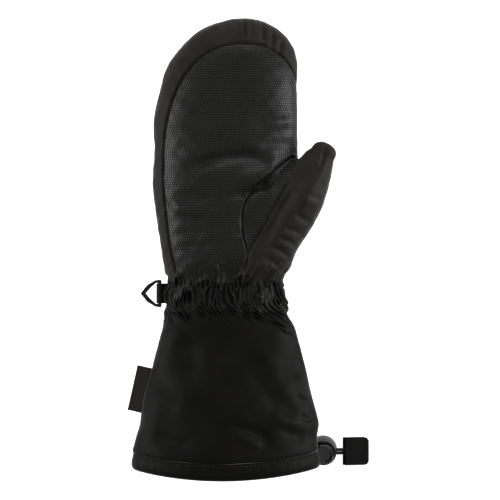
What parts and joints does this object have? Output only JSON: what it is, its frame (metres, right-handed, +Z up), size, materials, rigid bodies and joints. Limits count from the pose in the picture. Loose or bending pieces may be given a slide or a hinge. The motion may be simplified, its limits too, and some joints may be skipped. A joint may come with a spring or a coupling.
{
  "type": "ski mitten",
  "caption": "Insulated ski mitten for the right hand with a grip palm, gathered wrist, flared gauntlet cuff, wrist ring and a hem drawcord with lock and pull tab.",
  "frame": {"origin": "on the surface that the mitten's back rests on, below the middle of the palm", "axes": "+Y from the cuff to the finger tips, +X towards the thumb side, +Z up out of the palm"},
  "size_m": [0.1819, 0.3429, 0.0585],
  "materials": {
    "shell_fabric": "brushed softshell knit, matt with a soft sheen",
    "grip_palm": "embossed polyurethane with small raised dots",
    "insulation": "white polyester wadding",
    "membrane": "thin translucent waterproof film",
    "lining_fleece": "brushed tricot fleece",
    "gathered_fabric": "shell fabric drawn up in small pleats",
    "elastic": "flat woven elastic",
    "cuff_fabric": "smooth satin-faced twill",
    "cuff_lining_taffeta": "plain taffeta",
    "shock_cord": "braided elastic cord",
    "label_weave": "folded woven ribbon, bare",
    "webbing": "ribbed nylon webbing",
    "moulded_plastic": "fine-grained moulded acetal",
    "gloss_button": "polished moulded acetal",
    "spring_wire": "drawn spring wire",
    "tab_ribbon": "ribbed grosgrain ribbon"
  },
  "bodies": {
    "mitten": {"back_shell": "shell_fabric", "palm_patch": "grip_palm", "thumb_shell": "shell_fabric", "thumb_gusset": "grip_palm", "hand_insulation": "insulation", "thumb_insulation": "insulation", "waterproof_insert": "membrane", "hand_lining": "lining_fleece", "thumb_lining": "lining_fleece", "wrist_gather": "gathered_fabric", "wrist_elastic": "elastic", "cuff_palm_panel": "cuff_fabric", "cuff_back_panel": "cuff_fabric", "cuff_padding": "insulation", "cuff_lining": "cuff_lining_taffeta", "hem_band": "cuff_fabric", "hem_cord": "shock_cord", "side_label": "label_weave", "ring_strap": "webbing", "drawcord_upper": "shock_cord", "drawcord_lower": "shock_cord"},
    "ring": {"triangle_ring": "moulded_plastic"},
    "lock": {"cord_lock_body": "moulded_plastic", "cord_lock_spring": "spring_wire"},
    "plunger": {"cord_lock_plunger": "gloss_button"},
    "tab": {"pull_tab": "tab_ribbon"}
  },
  "joints": [
    {"name": "ring_swing", "type": "hinge", "parent": "mitten", "child": "ring", "pos_m": [-0.04974, -0.0926, 0.0215], "axis": [0, 1, 0], "range_deg": [-105, 105]},
    {"name": "lock_slide", "type": "slide", "parent": "mitten", "child": "lock", "axis": [1, 0, 0], "range_m": [0, 0.004]},
    {"name": "plunger_press", "type": "slide", "parent": "lock", "child": "plunger", "axis": [0, 0.2756, -0.9613], "range_m": [0, 0.0025], "stiffness_N_per_m": 400, "springref_m": -0.004, "deforming": ["cord_lock_spring"]},
    {"name": "tab_pull", "type": "slide", "parent": "mitten", "child": "tab", "axis": [1, 0, 0], "range_m": [0, 0.025], "deforming": ["drawcord_upper", "drawcord_lower"]}
  ]
}
